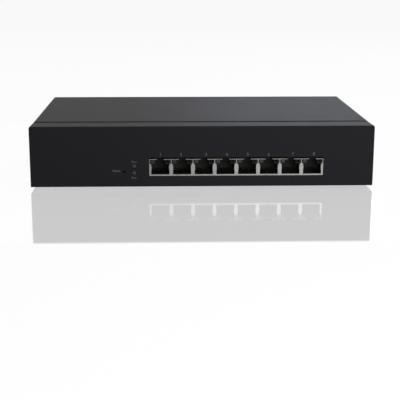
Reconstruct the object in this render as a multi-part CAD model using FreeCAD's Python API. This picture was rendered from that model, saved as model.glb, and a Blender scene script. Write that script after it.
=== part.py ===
import FreeCAD, Part
import os
from FreeCAD import Rotation, Vector

# Desktop ethernet switch: folded steel case, a row of eight shielded sockets, a main board and a mains
# supply. Sizes are in millimetres. Pieces are drawn from the middle of the lower front edge of the case,
# with +X to the right as seen from the front, +Y to the back and +Z up. save() sets them on the feet.

# How far a cutter reaches past the face it opens
cut_past = 1.0

# Case
case_width = 220.4
case_depth = 138.5
case_height = 39.3
sheet = 0.8
bend_radius = 1.1
strip_depth = 19.0
strip_drop = 0.35
seam_gap = 1.05
cover_inset = 0.4
cover_fit = 0.2
lip_root = 2.0
lip_depth = 8.0
rear_return = 10.0
side_flange = 12.0

# Ventilation slots in the sides of the cover
vent_count = 9
vent_pitch = 7.0
vent_width = 2.4
vent_height = 14.0
vent_middle_y = 82.0
vent_middle_z = 23.0

# Feet
foot_size = 12.0
foot_bevel = 0.8
foot_height = 2.0
foot_inset = 18.0

# Screws
head_radius = 2.8
head_height = 1.6
hexagon_across = 5.5
hexagon_height = 2.0
shank_radius = 1.35
thread_bore = 1.5
hole_play = 0.35
recess_width = 0.8
recess_depth = 0.9
recess_span = 3.2
cover_screw_length = 4.0
cover_screw_z = 6.0
cover_screw_front = 40.0
cover_screw_rear = 22.0

# Boards and standoffs
board_lift = 4.78
board_thickness = 1.6
board_gap = 0.6
board_hole_inset = 5.0
board_screw_length = 5.0
standoff_across = 5.5
standoff_floor = 0.8

# Row of sockets
port_count = 8
port_pitch = 13.97
jack_offset = 76.01
jack_recess = 0.2
jack_depth = 18.0
jack_end = 1.2
window_play = 0.15
window_head = 1.1
plug_width = 11.7
plug_height = 6.86
plug_sill = 0.85
plug_depth = 13.0
corner_height = 2.84
shoulder_height = 1.0
neck_width = 0.35
latch_width = 4.5
latch_slot = 7.0
latch_depth = 9.0
shield_sheet = 0.3
shield_fit = 0.05
finger_bulge = 0.3
finger_length = 3.4
finger_height = 2.6
finger_rise = 2.8
finger_sheet = 0.15
leg_width = 2.0
leg_play = 0.15

# Socket lamps and spring wires
lamp_width = 2.15
lamp_height = 1.8
lamp_rise = 0.65
lamp_length = 5.0
lamp_fit = 0.05
wire_count = 8
wire_pitch = 1.02
wire_width = 0.45
wire_thickness = 0.25
wire_groove = 0.5
wire_front = 3.2
wire_reach = 10.6
wire_rise = 2.7

# Front lamps
front_lamp_offset = 9.62
front_lamp_low = 9.2
front_lamp_pitch = 4.49
front_lamp_radius = 1.05
front_lamp_length = 6.0
front_lamp_play = 0.15
holder_width = 5.2
holder_depth = 4.0
holder_cap = 2.6

# Reset switch
reset_offset = 15.97
reset_z = 9.93
pinhole_radius = 0.8
reset_width = 6.0
reset_height = 5.6
reset_depth = 3.8
reset_set_back = 4.35
reset_clip_sheet = 0.25
reset_stem_radius = 1.0
reset_stem_tip = 2.2
reset_flange_radius = 1.9
reset_flange = 0.6
reset_pocket = 1.2
reset_play = 0.3
reset_slack = 0.05

# Main board and what it carries
main_margin = 6.0
main_depth = 94.0
chip_size = 20.0
chip_height = 1.6
chip_y = 62.0
pad_thickness = 0.5
sink_size = 40.0
sink_base = 2.5
sink_height = 12.0
sink_fins = 9
sink_fin = 1.2
magnetics_count = 4
magnetics_width = 18.0
magnetics_depth = 13.0
magnetics_height = 6.0
magnetics_y = 31.0
mould_edge = 0.6
crystal_length = 10.5
crystal_width = 4.6
crystal_height = 3.5
crystal_gap = 5.0
block_length = 7.3
block_width = 4.3
block_height = 2.8
block_pitch = 8.0
block_inset = 14.0
inductor_size = 10.0
inductor_height = 5.0
inductor_edge = 2.0
inductor_inset = 26.0

# Lead between the two boards
socket_length = 8.0
socket_width = 6.0
socket_height = 7.0
socket_wall = 0.8
socket_inset = 6.0
socket_share = 0.4
lead_plug_fit = 0.2
lead_plug_stand = 2.0
lead_width = 3.4
lead_thickness = 1.6
lead_bend = 4.0
lead_rise = 6.0

# Power supply board and what it carries, each at its share of the board's length from the front
supply_inset = 6.0
supply_width = 40.0
supply_length = 114.0
supply_gap = 6.0
core_width = 26.0
core_height = 22.0
core_depth = 8.0
core_bar = 4.0
core_leg = 7.0
core_margin = 3.0
core_share = 0.22
winding_depth = 18.0
winding_round = 3.0
winding_fit = 0.2
bulk_radius = 8.0
bulk_height = 25.0
bulk_inset = 13.0
bulk_share = 0.415
output_radius = 5.0
output_height = 16.0
output_share = 0.06
bridge_width = 15.0
bridge_depth = 3.6
bridge_height = 11.0
bridge_share = 0.525
choke_width = 18.0
choke_height = 16.0
choke_depth = 6.0
choke_bar = 4.0
choke_leg = 4.4
choke_coil = 2.0
choke_share = 0.6
filter_shift = 3.0
fuse_length = 8.4
fuse_width = 4.3
fuse_height = 7.7
fuse_inset = 7.0
fuse_share = 0.67
film_width = 18.0
film_depth = 8.0
film_height = 15.0
film_share = 0.715
plate_sheet = 1.5
plate_inset = 1.5
plate_length = 24.0
plate_height = 22.0
transistor_width = 10.0
transistor_depth = 4.5
transistor_height = 15.0
transistor_lift = 4.0

# Mains inlet in the rear wall
inlet_width = 28.0
inlet_height = 20.4
inlet_depth = 20.0
inlet_wall = 1.7
inlet_corner = 5.5
inlet_cavity = 15.0
inlet_play = 0.3
rim_width = 1.5
rim_depth = 2.0
pin_thickness = 2.0
pin_height = 4.0
pin_spread = 7.0
pin_step = 4.0
pin_set_back = 1.4
pin_tail = 1.5
pin_fit = 0.05

# Places that follow from the sizes above
left_wall = -case_width / 2
back_wall = case_depth - sheet
cover_half = case_width / 2 - cover_inset
base_half = cover_half - sheet - cover_fit
lip_top = case_height - sheet - cover_fit / 2
board_bottom = sheet + board_lift
board_top = board_bottom + board_thickness
jack_left = left_wall + jack_offset
jack_width = (port_count - 1) * port_pitch + plug_width + 2 * jack_end
jack_right = jack_left + jack_width
jack_middle = (jack_left + jack_right) / 2
jack_back = jack_recess + jack_depth
jack_skin = shield_sheet + shield_fit
housing_front = jack_recess + jack_skin
plug_floor = board_top + plug_sill
lamp_floor = plug_floor + plug_height
lamp_low = lamp_floor + lamp_rise
jack_ceiling = lamp_floor + corner_height
jack_top = jack_ceiling + shield_sheet
corner_width = port_pitch - neck_width
front_lamp_x = jack_left - front_lamp_offset
front_lamp_zs = [front_lamp_low, front_lamp_low + front_lamp_pitch]
reset_x = jack_left - reset_offset
reset_front = reset_set_back + reset_clip_sheet
supply_left = left_wall + supply_inset
supply_right = supply_left + supply_width
supply_middle = (supply_left + supply_right) / 2
supply_back = back_wall - board_gap
supply_front = supply_back - supply_length
main_left = supply_right + supply_gap
main_right = jack_right + main_margin
main_front = sheet + board_gap
main_back = main_front + main_depth
inlet_back = back_wall - inlet_depth
inlet_middle_z = board_top + inlet_height / 2
socket_y = supply_front + socket_share * supply_length
cover_screw_ys = [cover_screw_front, case_depth - cover_screw_rear]
port_xs = [jack_middle + (index - (port_count - 1) / 2) * port_pitch for index in range(port_count)]
main_holes = [
    (main_left + board_hole_inset, jack_back + board_hole_inset),
    (main_right - board_hole_inset, jack_back + board_hole_inset),
    (jack_middle, main_back - board_hole_inset),
]
supply_holes = [
    (supply_left + board_hole_inset, supply_front + board_hole_inset),
    (supply_right - board_hole_inset, inlet_back - board_hole_inset),
]


def box(x0, x1, y0, y1, z0, z1):
    """A block between two opposite corners."""
    return Part.makeBox(x1 - x0, y1 - y0, z1 - z0, Vector(x0, y0, z0))


def standing(x, y, z, width, depth, height):
    """A block centred on x and y that stands on z."""
    return box(x - width / 2, x + width / 2, y - depth / 2, y + depth / 2, z, z + height)


def closed(points):
    """The flat face inside a closed outline."""
    return Part.Face(Part.makePolygon(points + points[:1]))


def prism_x(points, x0, x1):
    """An outline of (y, z) points drawn out along X."""
    return closed([Vector(x0, y, z) for y, z in points]).extrude(Vector(x1 - x0, 0, 0))


def prism_y(points, y0, y1):
    """An outline of (x, z) points drawn out along Y."""
    return closed([Vector(x, y0, z) for x, z in points]).extrude(Vector(0, y1 - y0, 0))


def prism_z(points, z0, z1):
    """An outline of (x, y) points drawn out along Z."""
    return closed([Vector(x, y, z0) for x, y in points]).extrude(Vector(0, 0, z1 - z0))


def turned(points):
    """An outline of (radius, height) points turned round the Z axis."""
    face = closed([Vector(radius, 0, height) for radius, height in points])
    return face.revolve(Vector(0, 0, 0), Vector(0, 0, 1), 360)


def aimed(shape, point, direction):
    """A copy of a shape drawn along Z, set at a point with its Z along a direction."""
    turn = Rotation(Vector(0, 0, 1), Vector(*direction))
    return shape.transformed(FreeCAD.Placement(Vector(*point), turn).toMatrix(), True)


def bore(point, direction, radius, length):
    """A round rod, to cut a hole with."""
    return Part.makeCylinder(radius, length, Vector(*point), Vector(*direction))


def edges_where(solid, wanted):
    """The straight edges of a solid whose two ends pass a test."""
    return [edge for edge in solid.Edges if wanted(edge.Vertexes[0].Point, edge.Vertexes[-1].Point)]


def upright(start, end):
    """Whether an edge stands along Z."""
    return abs(start.x - end.x) + abs(start.y - end.y) < 1e-6


def bevelled(solid, size):
    """A moulded block with its top edges cut back."""
    top = solid.BoundBox.ZMax - 1e-6
    return solid.makeChamfer(size, edges_where(solid, lambda start, end: min(start.z, end.z) > top))


def hexagon(x, y, across, z0, z1):
    """A hexagonal post, as wide across its flats as given."""
    corner = Vector(across / 3 ** 0.5, 0, 0)
    corners = [Rotation(Vector(0, 0, 1), 60 * index).multVec(corner) for index in range(6)]
    return prism_z([(x + point.x, y + point.y) for point in corners], z0, z1)


def make_cover_screw():
    """A pan-headed screw along Z, seated at the origin, with a crossed recess."""
    solid = turned([
        (0, -cover_screw_length),
        (shank_radius, -cover_screw_length),
        (shank_radius, 0),
        (head_radius, 0),
        (head_radius, head_height),
        (0, head_height),
    ])
    floor = head_height - recess_depth
    bar = standing(0, 0, floor, recess_span, recess_width, head_height)
    return solid.cut([bar, standing(0, 0, floor, recess_width, recess_span, head_height)])


def make_board_screw(x, y):
    """A hexagon-headed screw down through a board into a standoff."""
    shank = bore((x, y, board_top - board_screw_length), (0, 0, 1), shank_radius, board_screw_length)
    return shank.fuse(hexagon(x, y, hexagon_across, board_top, board_top + hexagon_height))


def can(x, y, radius, height):
    """A capacitor can standing on a board."""
    return bore((x, y, board_top), (0, 0, 1), radius, height)


def save(name, *shapes):
    """Write one piece, moved so that the switch stands on its feet round the origin."""
    place = Vector(0, -case_depth / 2, foot_height)
    Part.makeCompound([shape.translated(place) for shape in shapes]).exportStep("parts/" + name + ".step")


def make_front(inset):
    """The form of the folded front, or of its hollow with the sheet's thickness as inset."""
    half = case_width / 2 - inset
    top = case_height - inset
    radius = bend_radius - inset
    end = strip_depth + inset
    slope = strip_drop / strip_depth
    wall = prism_x([(inset, inset), (inset, top), (end, top), (end, inset)], -half, half)
    bends = edges_where(wall, lambda a, b: max(a.y, b.y) < inset + 1e-6 and a.x != b.x)
    wall = wall.makeFillet(radius, bends)
    low = -cut_past
    corners = [(-half, low), (half, low), (half, top), (-half, top)]
    over = closed([Vector(x, 0, z) for x, z in corners]).extrude(Vector(0, end, -end * slope))
    bends = edges_where(over, lambda a, b: min(a.z, b.z) > top / 2 and a.y != b.y)
    return wall.common(over.makeFillet(radius, bends))


def make_tray(inset):
    """The form of the tray behind the front, or of its hollow with the sheet's thickness as inset."""
    half = base_half - inset
    top = lip_top - inset
    radius = bend_radius - inset
    start = strip_depth - lip_root - inset
    end = case_depth - inset
    wall = prism_x([(start, inset), (start, top), (end, top), (end, inset)], -half, half)
    bends = edges_where(wall, lambda a, b: min(a.y, b.y) > end - 1e-6 and a.x != b.x)
    wall = wall.makeFillet(radius, bends)
    over = box(-half, half, start, end, inset, top)
    bends = edges_where(over, lambda a, b: abs(a.y - b.y) > 1e-6)
    return wall.common(over.makeFillet(radius, bends))


def inlet_outline(grow, low):
    """The inlet's outline above a level, moved out by grow, with the corners by the earth pin cut off."""
    half = inlet_width / 2 + grow
    high = board_top + inlet_height + grow
    return [
        (supply_middle - half, low),
        (supply_middle + half, low),
        (supply_middle + half, high - inlet_corner),
        (supply_middle + half - inlet_corner, high),
        (supply_middle - half + inlet_corner, high),
        (supply_middle - half, high - inlet_corner),
    ]


def make_base():
    """The folded base: front with its strip over the top, floor, side flanges, lip and rear wall."""
    front = make_front(0).cut(make_front(sheet))
    tray = make_tray(0).cut(make_tray(sheet))
    opening = [strip_depth + lip_depth, case_depth - rear_return, side_flange, case_height]
    tray = tray.cut(box(-case_width, case_width, *opening))
    window = box(
        jack_left - window_play,
        jack_right + window_play,
        -cut_past,
        sheet + cut_past,
        board_top - window_play,
        jack_top + window_head,
    )
    inlet_way = inlet_outline(inlet_play, board_top - inlet_play)
    through = sheet + 2 * cut_past
    openings = [
        window,
        bore((reset_x, -cut_past, reset_z), (0, 1, 0), pinhole_radius, through),
        prism_y(inlet_way, back_wall - cut_past, case_depth + cut_past),
    ]
    lamp_hole = front_lamp_radius + front_lamp_play
    for z in front_lamp_zs:
        openings.append(bore((front_lamp_x, -cut_past, z), (0, 1, 0), lamp_hole, through))
    for y in cover_screw_ys:
        openings.append(bore((-case_width, y, cover_screw_z), (1, 0, 0), thread_bore, case_width * 2))
    return front.fuse(tray).removeSplitter().cut(openings)


def make_cover_form(inset):
    """The form of the cover, or of its hollow with the sheet's thickness as inset."""
    half = cover_half - inset
    top = case_height - inset
    form = box(-half, half, strip_depth + seam_gap - inset, case_depth + inset, -inset, top)
    bends = edges_where(form, lambda a, b: min(a.z, b.z) > 1 and abs(a.y - b.y) > 1)
    return form.makeFillet(bend_radius - inset, bends)


def make_cover():
    """The folded cover: top and two sides, square at both ends, with the slots and screw holes."""
    cutters = []
    for index in range(vent_count):
        y = vent_middle_y + (index - (vent_count - 1) / 2) * vent_pitch
        floor = vent_middle_z - vent_height / 2
        cutters.append(standing(0, y, floor, case_width * 2, vent_width, vent_height))
    for y in cover_screw_ys:
        hole = shank_radius + hole_play
        cutters.append(bore((-case_width, y, cover_screw_z), (1, 0, 0), hole, case_width * 2))
    return make_cover_form(0).cut(make_cover_form(sheet)).cut(cutters)


def make_foot(x, y):
    """A square rubber foot, its lower edges cut back."""
    foot = standing(x, y, -foot_height, foot_size, foot_size, foot_height)
    return foot.makeChamfer(foot_bevel, edges_where(foot, lambda a, b: max(a.z, b.z) < -foot_height / 2))


def port_mouth(x, y0, y1):
    """The front view of one socket, as a cutter: plug mouth, sloped shoulders and lamp corners."""
    right = [
        (plug_width / 2, plug_floor),
        (plug_width / 2, lamp_floor - shoulder_height / 2),
        (corner_width / 2, lamp_floor + shoulder_height / 2),
        (corner_width / 2, jack_ceiling),
    ]
    left = [(-across, z) for across, z in reversed(right)]
    return prism_y([(x + across, z) for across, z in right + left], y0, y1)


def latch_notch(x):
    """The notch over one socket that frees the plug's latch, as a cutter through shield and moulding."""
    return standing(x, jack_recess, lamp_floor, latch_width, latch_slot * 2, jack_top - lamp_floor)


def spring_finger(x, side):
    """A grounding finger folded back into a socket from the mouth's edge, on side -1 or 1."""
    wall = plug_width / 2
    crest = wall - finger_bulge
    root = jack_recess + shield_sheet
    middle = jack_recess + finger_length / 2
    end = jack_recess + finger_length
    points = [
        (wall + finger_bulge, jack_recess),
        (wall - finger_sheet, jack_recess),
        (crest, middle),
        (wall - finger_sheet * 2, end),
        (wall - finger_sheet, end),
        (crest + finger_sheet, middle),
        (wall - shield_fit, root),
        (wall + finger_bulge, root),
    ]
    z = plug_floor + finger_rise
    return prism_z([(x + side * across, y) for across, y in points], z, z + finger_height)


def shield_legs(play):
    """The four legs of the shield that pass through the main board, grown by a play on each side."""
    legs = []
    foot = board_bottom - board_gap
    across = shield_sheet + 2 * play
    along = leg_width + 2 * play
    for x in (jack_left + shield_sheet / 2, jack_right - shield_sheet / 2):
        for y in (jack_recess + jack_depth * 0.3, jack_recess + jack_depth * 0.8):
            legs.append(standing(x, y, foot, across, along, board_top - foot))
    return legs


def make_shield():
    """The folded shield: front with the socket mouths, top, sides and back, open below."""
    shield = box(jack_left, jack_right, jack_recess, jack_back, board_top, jack_top)
    hollow = box(
        jack_left + shield_sheet,
        jack_right - shield_sheet,
        jack_recess + shield_sheet,
        jack_back - shield_sheet,
        board_top - cut_past,
        jack_ceiling,
    )
    mouth_back = jack_recess + shield_sheet + cut_past
    cutters = [hollow]
    for x in port_xs:
        cutters.append(port_mouth(x, jack_recess - cut_past, mouth_back))
        cutters.append(latch_notch(x))
    fingers = [spring_finger(x, side) for x in port_xs for side in (-1, 1)]
    return shield.cut(cutters).fuse(fingers + shield_legs(0)).removeSplitter()


def make_housing():
    """The moulding inside the shield: plug cavities, latch channels, lamp pockets and wire grooves."""
    housing = box(
        jack_left + jack_skin,
        jack_right - jack_skin,
        housing_front,
        jack_back - jack_skin,
        board_top,
        jack_top - jack_skin,
    )
    lamp_inner = plug_width / 2 - lamp_width
    latch_half = lamp_inner - shield_sheet
    latch_height = lamp_rise + lamp_height
    groove_half = wire_count * wire_pitch / 2
    groove_floor = plug_floor - wire_groove
    plug_back = housing_front + plug_depth
    front = housing_front
    cutters = []
    for x in port_xs:
        cutters.append(standing(x, front, plug_floor, plug_width, plug_depth * 2, plug_height))
        cutters.append(standing(x, front, lamp_floor, latch_half * 2, latch_depth * 2, latch_height))
        cutters.append(latch_notch(x))
        groove = [wire_front, plug_back, groove_floor, plug_floor]
        cutters.append(box(x - groove_half, x + groove_half, *groove))
        for side in (-1, 1):
            middle = x + side * (lamp_inner + lamp_width / 2)
            cutters.append(standing(middle, front, lamp_low, lamp_width, lamp_length * 2, lamp_height))
    return housing.cut(cutters)


def make_wires(x):
    """The spring wires of one socket: along the floor groove, folded at the front, rising to the back."""
    low = plug_floor - wire_groove
    section = [
        (housing_front + plug_depth, low),
        (housing_front + plug_depth, low + wire_thickness),
        (wire_front + 4 * wire_thickness, low + wire_thickness),
        (wire_reach, low + wire_rise - wire_thickness),
        (wire_reach, low + wire_rise),
        (wire_front, low),
    ]
    wires = []
    for index in range(wire_count):
        middle = x + (index - (wire_count - 1) / 2) * wire_pitch
        wires.append(prism_x(section, middle - wire_width / 2, middle + wire_width / 2))
    return wires


def make_lamps(side):
    """The lamp windows on one side (-1 or 1) of every socket."""
    middle = plug_width / 2 - lamp_width / 2
    width = lamp_width - 2 * lamp_fit
    length = lamp_length - 2 * lamp_fit
    height = lamp_height - 2 * lamp_fit
    y = housing_front + lamp_length / 2
    return [standing(x + side * middle, y, lamp_low + lamp_fit, width, length, height) for x in port_xs]


def front_lamp(z):
    """The clear rod of one lamp, from just inside the front face back to the lamp block."""
    return bore((front_lamp_x, jack_recess, z), (0, 1, 0), front_lamp_radius, front_lamp_length)


def make_lamp_holder():
    """The block on the board that lights the two lamp rods from behind."""
    middle = jack_recess + front_lamp_length + holder_depth / 2
    height = front_lamp_zs[1] + holder_cap - board_top
    block = standing(front_lamp_x, middle, board_top, holder_width, holder_depth, height)
    return bevelled(block, mould_edge)


def make_reset_body():
    """The reset switch's base, with the pocket that the button's flange moves in."""
    middle = reset_front + reset_depth / 2
    block = standing(reset_x, middle, board_top, reset_width, reset_depth, reset_height)
    pocket = reset_flange_radius + reset_play
    return block.cut(bore((reset_x, reset_front, reset_z), (0, 1, 0), pocket, reset_pocket))


def make_reset_clip():
    """The metal clip round the reset switch that keeps its button in."""
    inner = reset_width / 2
    outer = inner + reset_clip_sheet
    end = reset_front + reset_depth
    clip = prism_z([
        (reset_x - outer, reset_set_back),
        (reset_x + outer, reset_set_back),
        (reset_x + outer, end),
        (reset_x + inner, end),
        (reset_x + inner, reset_front),
        (reset_x - inner, reset_front),
        (reset_x - inner, end),
        (reset_x - outer, end),
    ], board_top, board_top + reset_height)
    hole = reset_stem_radius + reset_play
    start = reset_set_back - cut_past
    return clip.cut(bore((reset_x, start, reset_z), (0, 1, 0), hole, reset_clip_sheet + 2 * cut_past))


def make_reset_button():
    """The reset button: a stem behind the pinhole and a flange held behind the clip."""
    shoulder = reset_front + reset_slack - reset_stem_tip
    button = turned([
        (0, 0),
        (reset_stem_radius, 0),
        (reset_stem_radius, shoulder),
        (reset_flange_radius, shoulder),
        (reset_flange_radius, shoulder + reset_flange),
        (0, shoulder + reset_flange),
    ])
    return aimed(button, (reset_x, reset_stem_tip, reset_z), (0, 1, 0))


def make_board(left, right, front, back, holes, slots):
    """A printed board with its screw holes and slots."""
    board = box(left, right, front, back, board_bottom, board_top)
    radius = shank_radius + hole_play
    start = board_bottom - cut_past
    bores = [bore((x, y, start), (0, 0, 1), radius, board_thickness + 2 * cut_past) for x, y in holes]
    return board.cut(bores + slots)


def make_standoff(x, y):
    """A hexagonal standoff on the floor, with a blind thread from above."""
    post = hexagon(x, y, standoff_across, sheet, board_bottom)
    floor = sheet + standoff_floor
    return post.cut(bore((x, y, floor), (0, 0, 1), thread_bore, board_lift))


def make_heat_sink(z):
    """The finned heat sink on the switch chip, drawn as one comb section."""
    left = jack_middle - sink_size / 2
    step = (sink_size - sink_fin) / (sink_fins - 1)
    points = [(left, z), (left + sink_size, z)]
    for index in reversed(range(sink_fins)):
        fin = left + index * step
        points.append((fin + sink_fin, z + sink_height))
        points.append((fin, z + sink_height))
        if index:
            points.append((fin, z + sink_base))
            points.append((fin - step + sink_fin, z + sink_base))
    return prism_y(points, chip_y - sink_size / 2, chip_y + sink_size / 2)


def make_power_socket(x):
    """An open-topped board socket for the lead between the boards."""
    block = standing(x, socket_y, board_top, socket_length, socket_width, socket_height)
    inner_length = socket_length - 2 * socket_wall
    inner_width = socket_width - 2 * socket_wall
    floor = board_top + socket_wall
    return block.cut(standing(x, socket_y, floor, inner_length, inner_width, socket_height))


def make_lead_plug(x):
    """A plug of that lead, seated on the socket's floor."""
    length = socket_length - 2 * socket_wall - 2 * lead_plug_fit
    width = socket_width - 2 * socket_wall - 2 * lead_plug_fit
    height = socket_height - socket_wall + lead_plug_stand
    return standing(x, socket_y, board_top + socket_wall, length, width, height)


def make_output_lead(x0, x1):
    """The flat lead from plug to plug: up, over and down."""
    start = board_top + socket_height + lead_plug_stand
    low = start + lead_rise - lead_bend
    half_turn = lead_bend * 0.5 ** 0.5
    y = socket_y
    points = [
        Vector(x0, y, start),
        Vector(x0, y, low),
        Vector(x0 + lead_bend - half_turn, y, low + half_turn),
        Vector(x0 + lead_bend, y, low + lead_bend),
        Vector(x1 - lead_bend, y, low + lead_bend),
        Vector(x1 - lead_bend + half_turn, y, low + half_turn),
        Vector(x1, y, low),
        Vector(x1, y, start),
    ]
    path = Part.Wire([
        Part.LineSegment(points[0], points[1]).toShape(),
        Part.Arc(points[1], points[2], points[3]).toShape(),
        Part.LineSegment(points[3], points[4]).toShape(),
        Part.Arc(points[4], points[5], points[6]).toShape(),
        Part.LineSegment(points[6], points[7]).toShape(),
    ])
    corners = [(-1, -1), (1, -1), (1, 1), (-1, 1), (-1, -1)]
    section = [Vector(x0 + dx * lead_thickness / 2, y + dy * lead_width / 2, start) for dx, dy in corners]
    return path.makePipeShell([Part.makePolygon(section)], True, False)


def make_core(x, y):
    """The transformer's core: two windows round a middle leg."""
    window = core_width / 2 - core_leg
    height = core_height - 2 * core_bar
    core = standing(x, y, board_top, core_width, core_depth, core_height)
    shift = (core_leg + window) / 2
    low = board_top + core_bar
    return core.cut([
        standing(x + side * shift, y, low, window, core_depth * 2, height) for side in (-1, 1)
    ])


def make_winding(x, y):
    """The transformer's winding round the middle leg."""
    width = core_width - core_leg - 2 * winding_fit
    low = board_top + core_bar + winding_fit
    height = core_height - 2 * core_bar - 2 * winding_fit
    winding = standing(x, y, low, width, winding_depth, height)
    winding = winding.makeFillet(winding_round, edges_where(winding, upright))
    inner_width = core_leg + 2 * winding_fit
    inner_depth = core_depth + 2 * winding_fit
    return winding.cut(standing(x, y, low, inner_width, inner_depth, height))


def make_choke_core(x, y):
    """The line choke's core: a square ring on edge."""
    window = choke_width - 2 * choke_leg
    height = choke_height - 2 * choke_bar
    core = standing(x, y, board_top, choke_width, choke_depth, choke_height)
    return core.cut(standing(x, y, board_top + choke_bar, window, choke_depth * 2, height))


def make_choke_windings(x, y):
    """The two coils on the legs of the choke's core."""
    low = board_top + choke_bar + winding_fit
    height = choke_height - 2 * choke_bar - 2 * winding_fit
    coils = []
    for side in (-1, 1):
        middle = x + side * (choke_width - choke_leg) / 2
        coil = standing(middle, y, low, choke_leg + 2 * choke_coil, choke_depth + 2 * choke_coil, height)
        coil = coil.makeChamfer(choke_coil / 2, edges_where(coil, upright))
        leg = standing(middle, y, low, choke_leg + 2 * winding_fit, choke_depth + 2 * winding_fit, height)
        coils.append(coil.cut(leg))
    return coils


def inlet_pin_places():
    """Where the three pins stand: live and neutral below, earth above between them."""
    low = inlet_middle_z - pin_step / 2
    return [
        (supply_middle - pin_spread, low),
        (supply_middle + pin_spread, low),
        (supply_middle, low + pin_step),
    ]


def make_inlet():
    """The mains inlet on the supply board: shroud through the rear wall, rim behind it, pin slots."""
    body = prism_y(inlet_outline(0, board_top), inlet_back, case_depth)
    rim = prism_y(inlet_outline(rim_width, board_top), back_wall - rim_depth, back_wall)
    floor = board_top + inlet_wall
    cavity = inlet_outline(-inlet_wall, floor)
    cutters = [prism_y(cavity, case_depth - inlet_cavity, case_depth + cut_past)]
    width = pin_thickness + 2 * pin_fit
    height = pin_height + 2 * pin_fit
    for x, z in inlet_pin_places():
        cutters.append(standing(x, inlet_back, z - height / 2, width, inlet_depth, height))
    return body.fuse(rim).removeSplitter().cut(cutters)


def make_inlet_pin(x, z):
    """One pin: a blade into the cavity and a tail down to the board."""
    back = inlet_back - pin_tail
    tip = case_depth - pin_set_back
    low = z - pin_height / 2
    high = z + pin_height / 2
    return prism_x([
        (back, board_top),
        (inlet_back, board_top),
        (inlet_back, low),
        (tip, low),
        (tip, high),
        (back, high),
    ], x - pin_thickness / 2, x + pin_thickness / 2)


os.makedirs("parts", exist_ok=True)

# Case
save("base_chassis", make_base())
save("top_cover", make_cover())
cover_screw = make_cover_screw()
save("cover_screws", *[
    aimed(cover_screw, (side * cover_half, y, cover_screw_z), (side, 0, 0))
    for side in (-1, 1)
    for y in cover_screw_ys
])
foot_x = case_width / 2 - foot_inset
save("foot_front_left", make_foot(-foot_x, foot_inset))
save("foot_front_right", make_foot(foot_x, foot_inset))
save("foot_rear_left", make_foot(-foot_x, case_depth - foot_inset))
save("foot_rear_right", make_foot(foot_x, case_depth - foot_inset))

# Boards on their standoffs
leg_slots = shield_legs(leg_play)
save("main_board", make_board(main_left, main_right, main_front, main_back, main_holes, leg_slots))
save("power_board", make_board(supply_left, supply_right, supply_front, supply_back, supply_holes, []))
board_holes = main_holes + supply_holes
save("board_standoffs", *[make_standoff(x, y) for x, y in board_holes])
save("board_screws", *[make_board_screw(x, y) for x, y in board_holes])

# Row of sockets
save("jack_shield", make_shield())
save("jack_housing", make_housing())
for index, x in enumerate(port_xs):
    save("port_contacts_" + str(index + 1), *make_wires(x))
save("link_lamps", *make_lamps(-1))
save("activity_lamps", *make_lamps(1))

# Front lamps and reset switch
save("lamp_holder", make_lamp_holder())
save("power_lamp", front_lamp(front_lamp_zs[1]))
save("system_lamp", front_lamp(front_lamp_zs[0]))
save("reset_switch_body", make_reset_body())
save("reset_switch_clip", make_reset_clip())
save("reset_button", make_reset_button())

# Main board
pad_z = board_top + chip_height
save("switch_chip", standing(jack_middle, chip_y, board_top, chip_size, chip_size, chip_height))
save("thermal_pad", standing(jack_middle, chip_y, pad_z, chip_size, chip_size, pad_thickness))
save("heat_sink", make_heat_sink(pad_z + pad_thickness))
magnetics_pitch = port_pitch * port_count / magnetics_count
for index in range(magnetics_count):
    x = jack_middle + (index - (magnetics_count - 1) / 2) * magnetics_pitch
    block = standing(x, magnetics_y, board_top, magnetics_width, magnetics_depth, magnetics_height)
    save("line_transformer_" + str(index + 1), bevelled(block, mould_edge))
crystal_x = jack_middle - sink_size / 2 - crystal_gap - crystal_length / 2
crystal = standing(crystal_x, chip_y, board_top, crystal_length, crystal_width, crystal_height)
save("clock_crystal", bevelled(crystal, mould_edge))
block_x = main_right - block_inset
save("board_capacitors", *[
    standing(block_x, chip_y + step * block_pitch, board_top, block_length, block_width, block_height)
    for step in (-1, 0, 1)
])
inductor_x = main_right - inductor_inset
inductor = standing(inductor_x, chip_y, board_top, inductor_size, inductor_size, inductor_height)
save("buck_inductor", inductor.makeChamfer(inductor_edge, edges_where(inductor, upright)))

# Lead between the boards
supply_socket_x = supply_right - socket_inset
main_socket_x = main_left + socket_inset
save("supply_power_socket", make_power_socket(supply_socket_x))
save("main_power_socket", make_power_socket(main_socket_x))
save("lead_plugs", make_lead_plug(supply_socket_x), make_lead_plug(main_socket_x))
save("output_lead", make_output_lead(supply_socket_x, main_socket_x))

# Power supply
core_x = supply_right - core_width / 2 - core_margin
core_y = supply_front + core_share * supply_length
save("transformer_core", make_core(core_x, core_y))
save("transformer_winding", make_winding(core_x, core_y))
bulk_y = supply_front + bulk_share * supply_length
save("bulk_capacitor", can(supply_left + bulk_inset, bulk_y, bulk_radius, bulk_height))
output_y = supply_front + output_share * supply_length
save("output_capacitor", can(supply_middle, output_y, output_radius, output_height))
bridge_y = supply_front + bridge_share * supply_length
bridge = standing(supply_middle, bridge_y, board_top, bridge_width, bridge_depth, bridge_height)
save("bridge_rectifier", bevelled(bridge, mould_edge))
filter_x = supply_middle + filter_shift
choke_y = supply_front + choke_share * supply_length
save("choke_core", make_choke_core(filter_x, choke_y))
save("choke_windings", *make_choke_windings(filter_x, choke_y))
fuse_y = supply_front + fuse_share * supply_length
fuse = standing(supply_left + fuse_inset, fuse_y, board_top, fuse_width, fuse_length, fuse_height)
save("fuse", bevelled(fuse, mould_edge))
film_y = supply_front + film_share * supply_length
film = standing(filter_x, film_y, board_top, film_width, film_depth, film_height)
save("film_capacitor", bevelled(film, mould_edge))
plate_x = supply_left + plate_inset + plate_sheet / 2
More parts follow.
